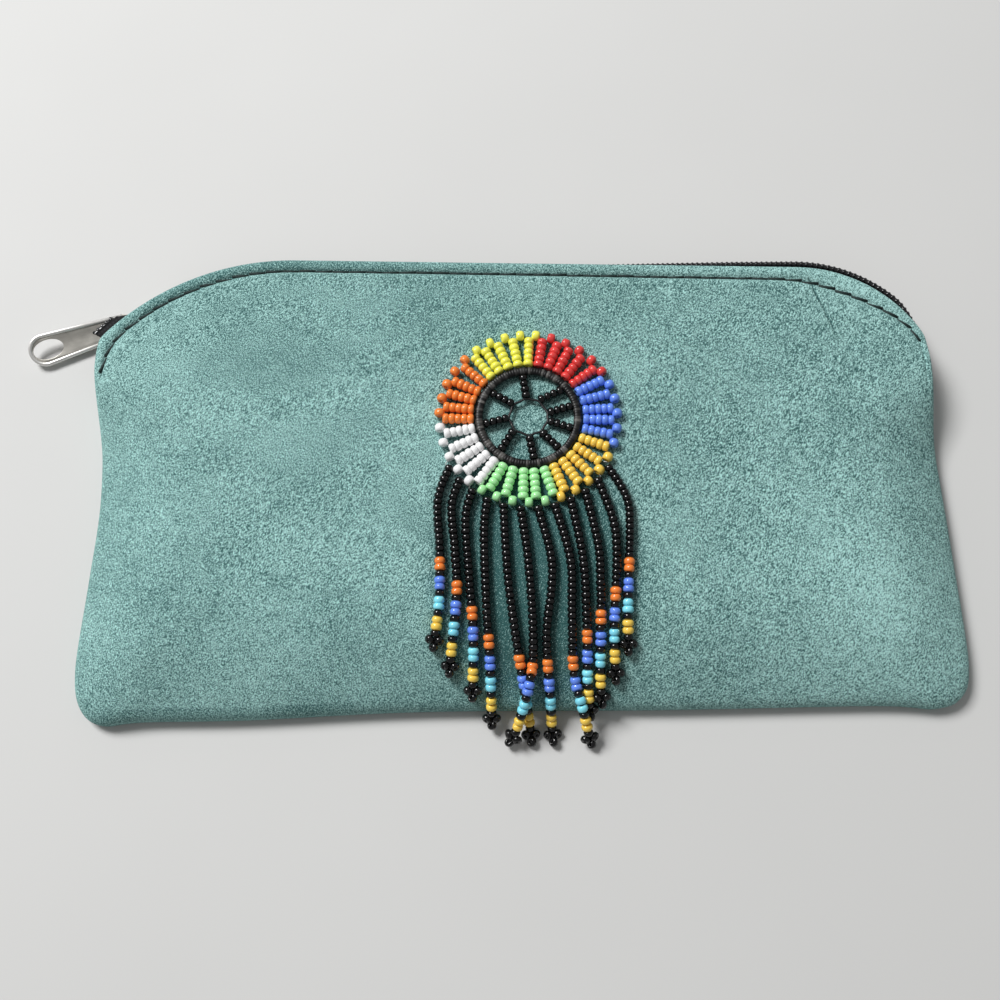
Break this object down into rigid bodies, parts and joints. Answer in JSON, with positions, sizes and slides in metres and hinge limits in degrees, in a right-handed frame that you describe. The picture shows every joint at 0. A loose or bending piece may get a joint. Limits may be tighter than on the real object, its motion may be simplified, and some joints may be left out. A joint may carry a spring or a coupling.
{
  "type": "suede coin purse",
  "caption": "Flat suede zip purse lying on its back, with a round beaded rosette, a hanging bead fringe and a zip with a metal pull tab; holds coins and notes.",
  "frame": {"origin": "on the table under the middle of the purse, on the outside of its back panel", "axes": "+X along the width of the purse towards its right side, +Y towards the zip, +Z out of the beaded front"},
  "size_m": [0.2181, 0.1151, 0.0146],
  "materials": {
    "suede": "napped suede",
    "zip_tape": "woven tape",
    "zip_coil": "shiny nylon coil",
    "zip_metal": "satin",
    "black_cord": "waxed thread",
    "black_beads": "opaque, glossy",
    "yellow_beads": "opaque, glossy",
    "red_beads": "opaque, glossy",
    "blue_beads": "opaque, glossy",
    "gold_beads": "opaque, glossy",
    "green_beads": "opaque, glossy",
    "white_beads": "opaque, glossy",
    "orange_beads": "opaque, glossy",
    "turquoise_beads": "opaque, glossy",
    "stitch_thread": "sewing thread"
  },
  "bodies": {
    "purse": {"front_panel": "suede", "back_panel": "suede", "zip_coil_front": "zip_coil", "zip_coil_back": "zip_coil", "zip_tape_front": "zip_tape", "zip_tape_back": "zip_tape", "wrapped_ring": "black_cord", "inner_loop": "black_cord", "inner_spoke_1": "black_beads", "inner_spoke_2": "black_beads", "inner_spoke_3": "black_beads", "inner_spoke_4": "black_beads", "inner_spoke_5": "black_beads", "inner_spoke_6": "black_beads", "inner_spoke_7": "black_beads", "inner_spoke_8": "black_beads", "inner_spoke_9": "black_beads", "rosette_yellow": "yellow_beads", "rosette_red": "red_beads", "rosette_blue": "blue_beads", "rosette_gold": "gold_beads", "rosette_green": "green_beads", "rosette_white": "white_beads", "rosette_orange": "orange_beads", "fringe_strand_1": "black_beads", "fringe_strand_2": "black_beads", "fringe_strand_3": "black_beads", "fringe_strand_4": "black_beads", "fringe_strand_5": "black_beads", "fringe_strand_6": "black_beads", "fringe_strand_7": "black_beads", "fringe_strand_8": "black_beads", "fringe_strand_9": "black_beads", "fringe_strand_10": "black_beads", "fringe_strand_11": "black_beads", "fringe_strand_12": "black_beads"},
    "slider": {"slider_body": "zip_metal"},
    "pull_tab": {"pull_tab": "zip_metal"}
  },
  "joints": [
    {"name": "zip_slider_travel", "type": "hinge", "parent": "purse", "child": "slider", "pos_m": [-0.055, -0.0045, 0.00424], "axis": [0, 0, -1], "range_deg": [0, 31]},
    {"name": "pull_tab_swing", "type": "hinge", "parent": "slider", "child": "pull_tab", "pos_m": [-0.08946, 0.04297, 0.00187], "axis": [-0.3119, 0.8587, 0.4066], "range_deg": [-90, 6]}
  ]
}
